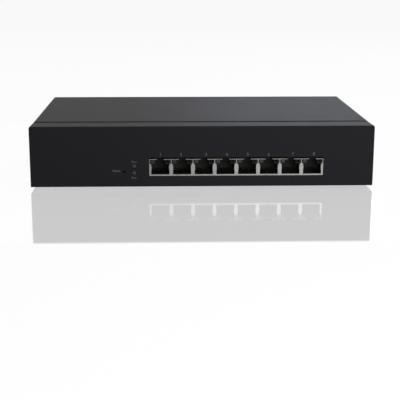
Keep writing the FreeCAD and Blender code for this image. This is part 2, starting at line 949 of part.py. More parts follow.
save("transistor_heat_sink", standing(plate_x, core_y, board_top, plate_sheet, plate_length, plate_height))
transistor_x = plate_x + plate_sheet / 2 + transistor_depth / 2
transistor_z = board_top + transistor_lift
transistor_size = [transistor_depth, transistor_width, transistor_height]
transistor = standing(transistor_x, core_y, transistor_z, *transistor_size)
save("power_transistor", bevelled(transistor, mould_edge))

# Mains inlet
save("inlet_body", make_inlet())
save("inlet_pins", *[make_inlet_pin(x, z) for x, z in inlet_pin_places()])
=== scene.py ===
# %% [markdown]
# # A desktop ethernet switch, dressed for the camera
# The solids of this switch come from a CAD model, already packed at their real size, in metres, with
# the feet on the floor at z = 0 and the sockets facing -Y. Blender adds what CAD leaves plain: the
# finish of every surface, the printed marks, and the small repeated metalwork on the boards.
# Nothing is moved or rescaled, so every piece we add can be placed by the CAD's own numbers.

import math

import bmesh
import bpy
from mathutils import Matrix, Vector


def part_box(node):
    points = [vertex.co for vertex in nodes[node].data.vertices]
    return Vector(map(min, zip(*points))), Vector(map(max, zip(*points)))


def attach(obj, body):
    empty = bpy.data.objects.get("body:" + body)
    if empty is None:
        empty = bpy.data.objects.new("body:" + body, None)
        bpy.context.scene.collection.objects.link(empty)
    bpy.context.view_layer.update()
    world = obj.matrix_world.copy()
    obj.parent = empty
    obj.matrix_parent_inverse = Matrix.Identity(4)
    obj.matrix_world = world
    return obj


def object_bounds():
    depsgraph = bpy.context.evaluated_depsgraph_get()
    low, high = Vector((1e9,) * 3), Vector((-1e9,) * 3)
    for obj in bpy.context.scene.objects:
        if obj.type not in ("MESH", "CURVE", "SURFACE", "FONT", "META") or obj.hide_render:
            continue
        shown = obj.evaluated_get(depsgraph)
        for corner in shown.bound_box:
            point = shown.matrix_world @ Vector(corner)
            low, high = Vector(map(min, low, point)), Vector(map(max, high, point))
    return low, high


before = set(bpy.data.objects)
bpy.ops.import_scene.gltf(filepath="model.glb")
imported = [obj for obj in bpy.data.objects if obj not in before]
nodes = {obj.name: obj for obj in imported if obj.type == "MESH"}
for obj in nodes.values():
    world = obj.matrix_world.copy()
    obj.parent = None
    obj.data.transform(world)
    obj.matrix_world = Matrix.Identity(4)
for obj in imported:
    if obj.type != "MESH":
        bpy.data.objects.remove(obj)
cad_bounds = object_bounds()
scene = bpy.context.scene
MM = 0.001
print("loaded", len(nodes), "nodes, box", [[round(v, 4) for v in corner] for corner in cad_bounds])

# %% [markdown]
# ## Camera
# A photograph fixes its camera: straight edges that run away from us close in towards each other, and
# how fast they do so gives the distance. The values below were fitted to the case's visible edges:
# about 0.67 m in front of the middle of the case, 0.14 m up, looking 13.9 degrees down. We build the
# rotation from its three axes, because a camera looks along its own -Z and that is easy to get wrong
# with Euler angles.

# %% Camera at the photograph's viewpoint
FOCAL_PIXELS = 963.5
IMAGE_PIXELS = 400
SENSOR_WIDTH = 36.0
CAMERA_PLACE = Vector((-21.66, -674.43, 142.45)) * MM
YAW, PITCH, ROLL = (math.radians(angle) for angle in (-1.895, 13.859, 0.088))

level = Matrix.Rotation(YAW, 3, "Z") @ Matrix.Rotation(-PITCH, 3, "X")
forward = level @ Vector((0, 1, 0))
right = math.cos(ROLL) * (level @ Vector((1, 0, 0))) + math.sin(ROLL) * (level @ Vector((0, 0, 1)))
up = right.cross(forward)
axes = Matrix((right, up, -forward)).transposed().to_4x4()

camera_data = bpy.data.cameras.new("photo_camera")
camera_data.sensor_fit = "HORIZONTAL"
camera_data.sensor_width = SENSOR_WIDTH
camera_data.lens = SENSOR_WIDTH * FOCAL_PIXELS / IMAGE_PIXELS
camera_data.clip_start = 0.01
camera = bpy.data.objects.new("photo_camera", camera_data)
camera.matrix_world = Matrix.Translation(CAMERA_PLACE) @ axes
scene.collection.objects.link(camera)
scene.camera = camera
print("camera lens", round(camera_data.lens, 2), "mm")

# %% [markdown]
# ## Writing node graphs as sums
# Materials and Geometry Nodes are both graphs of nodes, and long graphs are hard to read as code. So
# we wrap a socket in a small class whose operators add Math nodes: `0.4 + 0.2 * grain` then reads
# like the sum that it is. Every other kind of node goes through one method, which takes the node's
# type, its settings, and what goes into its sockets.

# %% Signals
class Signal:
    """An output socket that arithmetic works on. Each operator adds one Math node."""

    def __init__(self, graph, socket):
        self.graph = graph
        self.socket = socket

    def __add__(self, other):
        return self.graph.math("ADD", self, other)

    def __radd__(self, other):
        return self.graph.math("ADD", other, self)

    def __sub__(self, other):
        return self.graph.math("SUBTRACT", self, other)

    def __rsub__(self, other):
        return self.graph.math("SUBTRACT", other, self)

    def __mul__(self, other):
        return self.graph.math("MULTIPLY", self, other)

    def __rmul__(self, other):
        return self.graph.math("MULTIPLY", other, self)

    def __gt__(self, other):
        return self.graph.math("GREATER_THAN", self, other)

    def __lt__(self, other):
        return self.graph.math("LESS_THAN", self, other)


print("signals can be added, subtracted, multiplied and compared")

# %% Graphs
class Graph:
    """A node tree with one method for every kind of node."""

    def __init__(self, tree):
        self.tree = tree

    def feed(self, socket, value):
        """Link a signal into a socket, or set the socket to a plain value."""
        if isinstance(value, Signal):
            self.tree.links.new(value.socket, socket)
        else:
            socket.default_value = value

    def node(self, kind, settings=None, sockets=None, output=0):
        """Add any node: settings first, then values and links. Returns one of its outputs."""
        made = self.tree.nodes.new(kind)
        for name, value in (settings or {}).items():
            setattr(made, name, value)
        for name, value in (sockets or {}).items():
            self.feed(made.inputs[name], value)
        return Signal(self, made.outputs[output])

    def math(self, operation, *values):
        """Add a Math node, also for an operation that has no operator of its own."""
        return self.node("ShaderNodeMath", {"operation": operation}, dict(enumerate(values)))


print("graphs can add any node")

# %% [markdown]
# ## Finishes
# Every finish is a Principled shader whose colour, roughness and surface vary a little, because no
# real surface is one flat colour. The class below adds what they share: noise measured in
# millimetres, a mix of two colours, and bumps. Patterns read the piece's own coordinates, so they stay
# put when the piece moves. `dress` then hands a finish to pieces of the model.

# %% The Finish class
class Finish(Graph):
    """A material built round one Principled shader."""

    def __init__(self, name, **constants):
        self.material = bpy.data.materials.new(name)
        self.material.use_nodes = True
        super().__init__(self.material.node_tree)
        self.shader = self.tree.nodes["Principled BSDF"]
        self.use(**constants)

    def coordinates(self, **mapping):
        """The piece's own coordinates in metres, scaled or turned by a Mapping node if asked."""
        place = self.node("ShaderNodeTexCoord", output="Object")
        if not mapping:
            return place
        return self.node("ShaderNodeMapping", sockets={"Vector": place, **mapping})

    def noise(self, size_mm, detail=2.0, **mapping):
        """Soft random spots about as large as size_mm, from 0 to 1."""
        sockets = {"Vector": self.coordinates(**mapping), "Scale": 1 / MM / size_mm, "Detail": detail}
        return self.node("ShaderNodeTexNoise", sockets=sockets)

    def part(self, axis):
        """One of the piece's own coordinates, in millimetres."""
        metres = self.node("ShaderNodeSeparateXYZ", sockets={"Vector": self.coordinates()}, output=axis)
        return 1 / MM * metres

    def upward(self):
        """How far the surface faces up: 1 on a top, 0 on an upright side, -1 on an underside."""
        normal = self.node("ShaderNodeNewGeometry", output="Normal")
        return self.node("ShaderNodeSeparateXYZ", sockets={"Vector": normal}, output="Z")

    def between(self, signal, low, high):
        """A signal spread so that low becomes 0 and high becomes 1, and no further."""
        sockets = {"Value": signal, "From Min": low, "From Max": high}
        return self.node("ShaderNodeMapRange", sockets=sockets)

    def mix(self, factor, first, second):
        """A colour between two colours."""
        first, second = ((*c, 1) if isinstance(c, tuple) else c for c in (first, second))
        sockets = {0: factor, 6: first, 7: second}  # 6, 7 and output 2 are the node's colour sockets
        return self.node("ShaderNodeMix", {"data_type": "RGBA"}, sockets, 2)

    def bump(self, height, depth_mm, strength):
        """A normal bent by a height that runs from 0 to depth_mm."""
        sockets = {"Height": height, "Distance": depth_mm * MM, "Strength": strength}
        return self.node("ShaderNodeBump", sockets=sockets)

    def use(self, **signals):
        """Feed the shader's sockets, which are named with _ for a space."""
        for socket, value in signals.items():
            self.feed(self.shader.inputs[socket.replace("_", " ")], value)
        return self.material


print("finishes can read coordinates, noise, bumps and which way a surface faces")

# %% Dressing the nodes
finishes = {}


def dress(material, *names):
    """Give a finish to CAD nodes."""
    for name in names:
        nodes[name].data.materials.clear()
        nodes[name].data.materials.append(material)
        finishes[name] = material.name


def count_finishes():
    """Say how far the dressing has come."""
    print(len(set(finishes.values())), "finishes on", len(finishes), "of", len(nodes), "nodes")


count_finishes()

# %% [markdown]
# ## Powder coat
# The case is folded steel under a fine, near-black powder coat. Powder melts into a skin with pebbles
# about half a millimetre wide, which spread highlights: seen straight on, the coat is almost black, and
# at a grazing angle the top turns grey because it mirrors the bright room. Pebbles that small would
# take millions of faces as a mesh, so they are bumps in the shader, and the rest follows from a dark
# colour and a middling roughness.

# %% Powder coat on the two case pieces
COAT_DARK = (0.0070, 0.0069, 0.0074)
COAT_LIGHT = (0.0107, 0.0106, 0.0114)
coat = Finish("powder_coat", Specular_IOR_Level=0.07)
pebble = coat.noise(size_mm=0.45, detail=3.0)
cloud = coat.noise(size_mm=28.0, detail=4.0)
grain = coat.noise(size_mm=0.9)
powder_coat = coat.use(
    Base_Color=coat.mix(0.6 * cloud + 0.4 * pebble, COAT_DARK, COAT_LIGHT),
    Roughness=0.50 + 0.10 * grain + 0.06 * cloud,
    Normal=coat.bump(pebble, depth_mm=0.05, strength=0.8),
)
dress(powder_coat, "base_chassis", "top_cover")
print("powder coat on", list(finishes))

# %% [markdown]
# ## Tinned shield
# The sockets sit in a shield of thin tinned steel. Tin is a soft white metal with a satin surface,
# rolled in one direction, so its colour and roughness vary in long streaks. An anisotropic shader
# would stretch the highlights but leave the sheet itself even. Noise drawn out along X gives streaks
# that belong to the sheet.

# %% Tinned steel
TIN_DARK = (0.108, 0.105, 0.099)
TIN_LIGHT = (0.182, 0.179, 0.169)
tin = Finish("tinned_steel", Metallic=1.0)
streak = tin.noise(size_mm=1.2, detail=3.0, Scale=(0.15, 1, 1))
blotch = tin.noise(size_mm=6.0, detail=3.0)
tinned_steel = tin.use(
    Base_Color=tin.mix(0.5 * blotch + 0.5 * streak, TIN_DARK, TIN_LIGHT),
    Roughness=0.34 + 0.16 * streak,
    Normal=tin.bump(streak, depth_mm=0.010, strength=0.7),
)
dress(tinned_steel, "jack_shield", "reset_switch_clip")
print("tinned:", [name for name in finishes if finishes[name] == "tinned_steel"])

# %% [markdown]
# ## Black mouldings
# Socket bodies, the inlet and the chips are black, but not the same black: connectors are moulded in
# a spark-eroded tool that leaves a fine even matt texture, while chips are epoxy with a slightly
# glossier, sandier face. The reset button is black plastic too, and its colour is darkened far below
# that to paint the shade of the deep hole it lies in. One function makes them all from a few values,
# so that they differ where the real ones do, and the button also by that painted shade.

# %% Moulded plastics and epoxy
def moulding(name, dark, light, roughness, texture_mm, depth_mm, gloss=0.4):
    """A moulded plastic: a fine tool texture and a faint cloudiness in colour."""
    plastic = Finish(name, Specular_IOR_Level=gloss)
    texture = plastic.noise(texture_mm)
    haze = plastic.noise(size_mm=9.0, detail=3.0)
    return plastic.use(
        Base_Color=plastic.mix(haze, dark, light),
        Roughness=roughness + 0.12 * texture,
        Normal=plastic.bump(texture, depth_mm, strength=0.5),
    )


socket_black = moulding(
    "socket_black", dark=(0.0180, 0.0180, 0.0184), light=(0.0260, 0.0260, 0.0268),
    roughness=0.60, texture_mm=0.25, depth_mm=0.01, gloss=0.02,
)
chip_epoxy = moulding(
    "chip_epoxy", dark=(0.014, 0.014, 0.015), light=(0.024, 0.024, 0.025),
    roughness=0.55, texture_mm=0.15, depth_mm=0.008,
)
# the reset button's near-zero black is painted shade of its deep hole, darker than the plastic itself
button_black = moulding(
    "button_black", dark=(0.0012, 0.0012, 0.0012), light=(0.0026, 0.0026, 0.0026),
    roughness=0.50, texture_mm=0.30, depth_mm=0.01, gloss=0.02,
)
magnetics = ["line_transformer_%d" % number for number in range(1, 5)]
dress(socket_black, "jack_housing", "lamp_holder", "reset_switch_body", "inlet_body", "fuse")
dress(chip_epoxy, "switch_chip", "bridge_rectifier", "power_transistor", *magnetics)
dress(button_black, "reset_button")
count_finishes()

# %% [markdown]
# ## Coloured plastics, rubber and ferrite
# Behind the vents sit a few coloured things: cream nylon plugs, a red lead, yellow tape round the
# windings and a grey pad under the heat sink. The feet are soft black rubber, and the dark cores are
# ferrite, pressed from powder in a mould. All of them are moulded or pressed, so the function for the
# black mouldings serves them too.

# %% Plugs, lead, tape, pad, feet and cores
cream_nylon = moulding(
    "cream_nylon", dark=(0.62, 0.59, 0.50), light=(0.74, 0.71, 0.62),
    roughness=0.38, texture_mm=0.30, depth_mm=0.01,
)
lead_red = moulding(
    "lead_red", dark=(0.26, 0.015, 0.012), light=(0.36, 0.024, 0.018),
    roughness=0.36, texture_mm=0.60, depth_mm=0.01,
)
tape_yellow = moulding(
    "tape_yellow", dark=(0.52, 0.36, 0.03), light=(0.66, 0.48, 0.06),
    roughness=0.30, texture_mm=0.80, depth_mm=0.01,
)
pad_grey = moulding(
    "pad_grey", dark=(0.20, 0.20, 0.22), light=(0.28, 0.28, 0.30),
    roughness=0.70, texture_mm=0.40, depth_mm=0.02,
)
foot_rubber = moulding(
    "foot_rubber", dark=(0.010, 0.010, 0.010), light=(0.020, 0.020, 0.019),
    roughness=0.72, texture_mm=0.50, depth_mm=0.03, gloss=0.25,
)
ferrite = moulding(
    "ferrite", dark=(0.030, 0.030, 0.032), light=(0.055, 0.055, 0.058),
    roughness=0.60, texture_mm=0.60, depth_mm=0.02,
)
feet = [name for name in nodes if name.startswith("foot_")]
dress(cream_nylon, "main_power_socket", "supply_power_socket", "lead_plugs")
dress(lead_red, "output_lead")
dress(tape_yellow, "transformer_winding", "film_capacitor", "board_capacitors")
dress(pad_grey, "thermal_pad")
dress(foot_rubber, *feet)
dress(ferrite, "transformer_core", "choke_core", "buck_inductor")
count_finishes()

# %% [markdown]
# ## Plated and bare metals
# Screws are zinc plated, contacts are flashed with pale gold, the inlet pins are nickel plated, the
# heat sinks are plain extruded aluminium and the choke is wound with copper. The contacts' gold is
# made much darker than real gold, which paints onto them the shade deep inside the sockets. They
# differ in colour, in how rough they are and in which way the working marks run, so again one
# function takes those values.
# A scale below 1 along an axis draws the marks out along it.

# %% Metals
def metal(name, dark, light, roughness, mark_mm, **mapping):
    """A bare or plated metal with working marks, which a Scale can draw out along an axis."""
    plate = Finish(name, Metallic=1.0)
    marks = plate.noise(mark_mm, detail=3.0, **mapping)
    tarnish = plate.noise(size_mm=4.0, detail=3.0)
    return plate.use(
        Base_Color=plate.mix(tarnish, dark, light),
        Roughness=roughness + 0.18 * marks,
        Normal=plate.bump(marks, depth_mm=0.003, strength=0.4),
    )


zinc_plate = metal(
    "zinc_plate", dark=(0.33, 0.34, 0.35), light=(0.45, 0.46, 0.48), roughness=0.26, mark_mm=0.5,
)
# gold darkened well below real gold: painted shade of the socket's depths on the contacts
contact_gold = metal(
    "contact_gold", dark=(0.30, 0.25, 0.16), light=(0.40, 0.335, 0.22),
    roughness=0.22, mark_mm=0.4, Scale=(1, 0.1, 1),
)
nickel_plate = metal(
    "nickel_plate", dark=(0.38, 0.37, 0.35), light=(0.50, 0.49, 0.46),
    roughness=0.22, mark_mm=0.6, Scale=(1, 0.2, 1),
)
extruded_aluminium = metal(
    "extruded_aluminium", dark=(0.52, 0.53, 0.54), light=(0.66, 0.67, 0.68),
    roughness=0.34, mark_mm=0.5, Scale=(1, 0.05, 1),
)
copper_wire = metal(
    "copper_wire", dark=(0.42, 0.16, 0.06), light=(0.58, 0.25, 0.10), roughness=0.28, mark_mm=0.6,
)
contacts = ["port_contacts_%d" % number for number in range(1, 9)]
dress(zinc_plate, "cover_screws", "board_screws", "board_standoffs", "clock_crystal")
dress(contact_gold, *contacts)
dress(nickel_plate, "inlet_pins")
dress(extruded_aluminium, "heat_sink", "transistor_heat_sink")
dress(copper_wire, "choke_windings")
count_finishes()

# %% [markdown]
# ## Lamps
# Unlit, a lamp window is only a piece of clear or milky plastic with a dark hole behind it. The left
# window of each socket looks pale grey and the right one dark; the two round lamps beside the sockets
# are dull grey. Real transparency would need light to pass through and is slow to render, so a
# smooth, slightly cloudy plastic stands in for it. The colours of the windows are painted with the
# shade of the dark hole behind, and the right windows are almost black with it.

# %% Lamp plastics
def lamp_plastic(name, dark, light, gloss):
    """A milky lamp plastic: cloudy inside, smooth outside."""
    lens = Finish(name, Specular_IOR_Level=gloss)
    milk = lens.noise(size_mm=0.8, detail=3.0)
    return lens.use(
        Base_Color=lens.mix(milk, dark, light),
        Roughness=0.14 + 0.10 * milk,
        Normal=lens.bump(milk, depth_mm=0.01, strength=0.2),
    )


link_plastic = lamp_plastic(
    "link_lamp_plastic", dark=(0.017, 0.018, 0.016), light=(0.034, 0.0355, 0.031), gloss=0.12,
)
# the right windows' near-black colour is painted shade of the dark hole behind a clear lens
activity_lens_painted_shade = lamp_plastic(
    "activity_lamp_plastic", dark=(0.0015, 0.0015, 0.0014), light=(0.0030, 0.0030, 0.0028), gloss=0.02,
)
front_plastic = lamp_plastic(
    "front_lamp_plastic", dark=(0.014, 0.014, 0.014), light=(0.025, 0.025, 0.025), gloss=0.4,
)
dress(link_plastic, "link_lamps")
dress(activity_lens_painted_shade, "activity_lamps")
dress(front_plastic, "power_lamp", "system_lamp")
print("lamps:", [name for name in finishes if finishes[name].endswith("lamp_plastic")])

# %% [markdown]
# ## Printed boards
# A printed board is laminate under a coloured lacquer, with copper tracks that show through as
# slightly lighter, slightly raised lines. Drawing a real layout would be days of work for something
# glimpsed through the vents. Tracks run along the two directions of the board, so the joints of two
# brick patterns, one turned, suggest them. The supply board is bare tan laminate.

# %% Board finishes
QUARTER_TURN = math.pi / 2
TRACK_WIDTH = 0.012


def track_lines(board, scale, offset, **mapping):
    """1 on thin lines laid out like the joints of a brick wall, and 0 between them."""
    sockets = {"Vector": board.coordinates(**mapping), "Scale": scale, "Mortar Size": TRACK_WIDTH}
    return board.node("ShaderNodeTexBrick", {"offset": offset}, sockets, "Fac")


def board_finish(name, lacquer, track, laminate):
    """A board: lacquered top and bottom with tracks, and bare laminate on the cut edges."""
    board = Finish(name, Specular_IOR_Level=0.5)
    along = track_lines(board, scale=60.0, offset=0.35)
    across = track_lines(board, scale=85.0, offset=0.6, Rotation=(0, 0, QUARTER_TURN))
    tracks = board.between(along + across, 0.0, 1.0)
    flat = board.math("ABSOLUTE", board.upward()) > 0.5
    weave = board.noise(size_mm=0.5)
    lacquered = board.mix(tracks, lacquer, track)
    return board.use(
        Base_Color=board.mix(flat, laminate, lacquered),
        Roughness=0.30 + 0.15 * weave,
        Normal=board.bump(tracks * flat + 0.2 * weave, depth_mm=0.03, strength=0.4),
    )


green_board = board_finish(
    "green_board", lacquer=(0.010, 0.085, 0.035), track=(0.020, 0.140, 0.060), laminate=(0.32, 0.28, 0.15),
)
tan_board = board_finish(
    "tan_board", lacquer=(0.40, 0.27, 0.12), track=(0.46, 0.32, 0.16), laminate=(0.38, 0.27, 0.13),
)
dress(green_board, "main_board")
dress(tan_board, "power_board")
print("boards:", finishes["main_board"], "and", finishes["power_board"])

# %% [markdown]
# ## Capacitor sleeves
# Two tall cans on the supply board wear a dark shrink sleeve with a pale stripe for the minus side, and
# show bare aluminium on top. In each can, sleeve, stripe and top belong to one mesh, and a CAD mesh is
# left as it is, so the material tells them apart: the top by which way the surface faces, and the
# stripe by its place on the can.

# %% Sleeved cans
STRIPE_FULL, STRIPE_GONE = 0.30, 0.34  # shares of the can's radius, from its middle line


def sleeve_finish(can):
    """A dark sleeve with a pale stripe towards -Y and a bare metal top."""
    sleeve = Finish("sleeve_" + can, Specular_IOR_Level=0.5)
    low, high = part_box(can)
    middle_x, middle_y = ((low[axis] + high[axis]) / 2 / MM for axis in (0, 1))
    radius = (high[0] - low[0]) / 2 / MM
    aside = sleeve.part("X") - middle_x
    beyond = sleeve.between(aside * aside, (STRIPE_FULL * radius) ** 2, (STRIPE_GONE * radius) ** 2)
    front = sleeve.part("Y") < middle_y
    stripe = (1 - beyond) * front
    top = sleeve.upward() > 0.7
    scuff = sleeve.noise(size_mm=1.5, detail=3.0)
    skin = sleeve.mix(stripe, (0.012, 0.014, 0.035), (0.45, 0.45, 0.47))
    return sleeve.use(
        Base_Color=sleeve.mix(top, skin, (0.60, 0.60, 0.61)),
        Metallic=top,
        Roughness=0.24 + 0.14 * scuff,
        Normal=sleeve.bump(scuff, depth_mm=0.01, strength=0.3),
    )


for can in ("bulk_capacitor", "output_capacitor"):
    dress(sleeve_finish(can), can)
count_finishes()

# %% [markdown]
# ## Legs and solder joints
# The chip and the line transformers stand on rows of thin bent legs, and each socket ends in eight
# solder joints under the board. One leg is easy to draw; hundreds are a job for Geometry Nodes. The
# tree lays legs out in a row, turns the row to each side of a package, and repeats the package. Its
# inputs have names, so the same tree serves all three jobs with different numbers.

# %% Inputs of the tree that repeats legs
legs = Graph(bpy.data.node_groups.new("rows_of_legs", "GeometryNodeTree"))
leg_inputs = {
    "Leg": "Geometry",
    "Legs": "Int",
    "Leg Pitch": "Float",
    "Shift": "Float",
    "Reach": "Float",
    "Sides": "Int",
    "Turn": "Float",
    "Packages": "Int",
    "Package Pitch": "Float",
    "Finish": "Material",
}
for label, kind in leg_inputs.items():
    legs.tree.interface.new_socket(label, in_out="INPUT", socket_type="NodeSocket" + kind)
legs.tree.interface.new_socket("Geometry", in_out="OUTPUT", socket_type="NodeSocketGeometry")
group_input = legs.tree.nodes.new("NodeGroupInput")
given = {label: Signal(legs, group_input.outputs[label]) for label in leg_inputs}
print("inputs:", list(given))

# %% The tree that repeats legs
def flat_vector(x, y=0.0):
    """A vector in the board's plane."""
    return legs.node("ShaderNodeCombineXYZ", sockets={"X": x, "Y": y})


def line(count, pitch, shift, y):
    """Points in a row along X, spread evenly about a shift from the middle."""
    start = flat_vector(shift - 0.5 * (count - 1) * pitch, y)
    sockets = {"Count": count, "Start Location": start, "Offset": flat_vector(pitch)}
    return legs.node("GeometryNodeMeshLine", sockets=sockets)


def copies(points, shape, **more):
    """A shape at every point."""
    sockets = {"Points": points, "Instance": shape, **more}
    return legs.node("GeometryNodeInstanceOnPoints", sockets=sockets)


row = line(given["Legs"], given["Leg Pitch"], given["Shift"], -1 * given["Reach"])
side = copies(row, given["Leg"])
angle = given["Turn"] * legs.node("GeometryNodeInputIndex")
facing = legs.node("ShaderNodeCombineXYZ", sockets={"Z": angle})
package = copies(line(given["Sides"], 0.0, 0.0, 0.0), side, Rotation=facing)
bank = copies(line(given["Packages"], given["Package Pitch"], 0.0, 0.0), package)
real = legs.node("GeometryNodeRealizeInstances", sockets={"Geometry": bank})
painted = legs.node("GeometryNodeSetMaterial", sockets={"Geometry": real, "Material": given["Finish"]})
group_output = legs.tree.nodes.new("NodeGroupOutput")
legs.feed(group_output.inputs["Geometry"], painted)
print("leg tree has", len(legs.tree.nodes), "nodes")

# %% [markdown]
# A leg is a flat strip bent twice: out of the package, down, and out again along the board. A solder
# joint is a low cone that climbs a pin. Both are drawn once, at the origin: the leg as an outline
# pulled to its width, because that keeps it at ten faces, and the joint as a cone of twelve sides.

# %% One leg and one solder joint
ROOT_MM = 0.2  # how far a leg reaches into its package
BEND_SHARE, FOOT_SHARE = 0.35, 0.50  # where a leg turns down and where its foot starts
TIP_SHARE = 0.3  # a joint's tip as a share of its foot


def bent_leg(out_mm, high_mm, thick_mm, width_mm):
    """A leg that leaves the package's side at y = 0 and ends on the board, towards -Y."""
    bend, foot, under = BEND_SHARE * out_mm, FOOT_SHARE * out_mm, high_mm - thick_mm
    upper = [(ROOT_MM, high_mm), (-bend, high_mm), (-foot, thick_mm), (-out_mm, thick_mm)]
    lower = [(-out_mm, 0), (-foot - thick_mm, 0), (-bend - thick_mm, under), (ROOT_MM, under)]
    outline = upper + lower
    count = len(outline)
    corners = [(x * width_mm * MM / 2, y * MM, z * MM) for x in (-1, 1) for y, z in outline]
    ends = [tuple(reversed(range(count))), tuple(range(count, 2 * count))]
    rim = [(i, (i + 1) % count, (i + 1) % count + count, i + count) for i in range(count)]
    mesh = bpy.data.meshes.new("leg")
    mesh.from_pydata(corners, [], ends + rim)
    return mesh


def solder_joint(radius_mm, high_mm):
    """A cone that hangs from the board's underside."""
    cone = bmesh.new()
    bmesh.ops.create_cone(
        cone, cap_ends=True, segments=12,
        radius1=TIP_SHARE * radius_mm * MM, radius2=radius_mm * MM, depth=high_mm * MM,
        matrix=Matrix.Translation((0, 0, -high_mm * MM / 2)),
    )
    mesh = bpy.data.meshes.new("joint")
    cone.to_mesh(mesh)
    cone.free()
    return mesh


chip_leg = bent_leg(out_mm=1.0, high_mm=0.8, thick_mm=0.15, width_mm=0.22)
transformer_leg = bent_leg(out_mm=1.6, high_mm=1.4, thick_mm=0.25, width_mm=0.45)
joint = solder_joint(radius_mm=0.75, high_mm=1.0)
print("faces of a leg and a joint:", len(chip_leg.polygons), len(joint.polygons))

# %% [markdown]
# The tree runs as a modifier. Its result is copied out as a plain mesh, because an export drops
# instances, and the mesh is moved to its place, so that the object itself stays at the origin. The
# place comes from the boxes of the CAD nodes, so the legs follow if the CAD model changes.

# %% Helpers that repeat a shape and keep it
def keep(name, mesh):
    """Add a finished mesh as a piece that moves with the case."""
    piece = bpy.data.objects.new(name, mesh)
    scene.collection.objects.link(piece)
    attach(piece, "case")
    print(name, len(mesh.polygons), "faces")


def repeat(name, shape, place, slot, **inputs):
    """Run the leg tree on one shape and keep the result. Its inputs are named with _ for a space."""
    source = bpy.data.objects.new(name, shape)
    scene.collection.objects.link(source)
    modifier = source.modifiers.new("rows", "NODES")
    modifier.node_group = legs.tree
    for item in legs.tree.interface.items_tree:
        label = item.name.replace(" ", "_")
        if item.in_out == "INPUT" and label in inputs:
            modifier[item.identifier] = inputs[label]
    drawn = source.evaluated_get(bpy.context.evaluated_depsgraph_get())
    mesh = bpy.data.meshes.new_from_object(drawn)
    bpy.data.objects.remove(source)
    bpy.data.meshes.remove(shape)
    mesh.name = name
    mesh.transform(Matrix.Translation(place))
    keep(name, mesh)


def foot_of(*names):
    """The middle of some nodes seen from above, at their lowest level."""
    boxes = [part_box(name) for name in names]
    low = [min(box[0][i] for box in boxes) for i in range(3)]
    high = [max(box[1][i] for box in boxes) for i in range(3)]
    return Vector(((low[0] + high[0]) / 2, (low[1] + high[1]) / 2, low[2]))


def half_depth(name):
    """Half of a node's size along Y."""
    low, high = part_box(name)
    return (high[1] - low[1]) / 2


print("the chip stands at", [round(v, 4) for v in foot_of("switch_chip")])

# %% [markdown]
# Now the three jobs. The chip has 38 legs on each of its four sides, half a millimetre apart. A line
# transformer has twelve on each of two sides, and four of them stand in a bank, one for every two
# sockets. The joints of a socket come in two staggered rows of four: each row is shifted by a quarter
# of its pitch, and the half turn sends the second row the other way.

# %% Legs of the chip and the line transformers, joints under the sockets
PORT_PITCH = 13.97 * MM
JOINT_INSET = 3.0 * MM  # from the back of the sockets to the middle of their joints
HALF_TURN = math.pi
solder = metal(
    "solder", dark=(0.50, 0.50, 0.50), light=(0.64, 0.64, 0.63), roughness=0.24, mark_mm=0.5,
)
repeat(
    "chip_legs", chip_leg, foot_of("switch_chip"), "pin_plating", Finish=solder,
    Legs=38, Leg_Pitch=0.5 * MM, Shift=0.0, Reach=half_depth("switch_chip"),
    Sides=4, Turn=QUARTER_TURN, Packages=1, Package_Pitch=0.0,
)
repeat(
    "transformer_legs", transformer_leg, foot_of(*magnetics), "pin_plating", Finish=solder,
    Legs=12, Leg_Pitch=1.27 * MM, Shift=0.0, Reach=half_depth(magnetics[0]),
    Sides=2, Turn=HALF_TURN, Packages=len(magnetics), Package_Pitch=2 * PORT_PITCH,
)
joint_place = foot_of("jack_housing")
joint_place.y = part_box("jack_housing")[1][1] - JOINT_INSET
joint_place.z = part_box("main_board")[0][2]
repeat(
    "socket_joints", joint, joint_place, "pin_plating", Finish=solder,
    Legs=4, Leg_Pitch=2.04 * MM, Shift=0.51 * MM, Reach=1.27 * MM,
    Sides=2, Turn=HALF_TURN, Packages=len(contacts), Package_Pitch=PORT_PITCH,
)

# %% [markdown]
# ## Printed numbers
# Above each socket the front carries its number, and small words name the lamps and the reset hole.
# Ink is screen printed: a skin a few hundredths of a millimetre thick. It could be a mask in the coat's
# material, but letters are simpler as text objects, turned into meshes and stood upright on the front
# face. They are sunk slightly into it, so that no gap shows from the side. Their places were read off
# the photograph, where the numbers aren't quite evenly spaced.

# %% Ink
INK_DARK = (0.075, 0.075, 0.075)
INK_LIGHT = (0.115, 0.115, 0.115)
ink = Finish("grey_ink", Specular_IOR_Level=0.3)
speck = ink.noise(size_mm=0.35, detail=3.0)
grey_ink = ink.use(
    Base_Color=ink.mix(speck, INK_DARK, INK_LIGHT),
    Roughness=0.55 + 0.15 * speck,
    Normal=ink.bump(speck, depth_mm=0.006, strength=0.3),
)
print("ink mixed:", grey_ink.name)

# %% The print function
FRONT_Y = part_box("base_chassis")[0][1]
INK_THICKNESS = 0.03 * MM
INK_Y = FRONT_Y - INK_THICKNESS / 4  # middle of the ink, so that a quarter of it is sunk into the front
CAPITAL_SHARE = 0.69  # height of a capital letter as a share of the font size


def flat_letters(text, height_mm):
    """A mesh of letters that lies flat, with its middle at the origin."""
    letters = bpy.data.curves.new("letters", "FONT")
    letters.body = text
    letters.size = height_mm * MM / CAPITAL_SHARE
    letters.resolution_u = 3
    letters.extrude = INK_THICKNESS / 2
    drawn = bpy.data.objects.new("letters", letters)
    mesh = bpy.data.meshes.new_from_object(drawn)
    bpy.data.objects.remove(drawn)
    bpy.data.curves.remove(letters)
    places = [vertex.co for vertex in mesh.vertices]
    middle = [(min(p[i] for p in places) + max(p[i] for p in places)) / 2 for i in range(3)]
    mesh.transform(Matrix.Translation(-Vector(middle)))
    return mesh


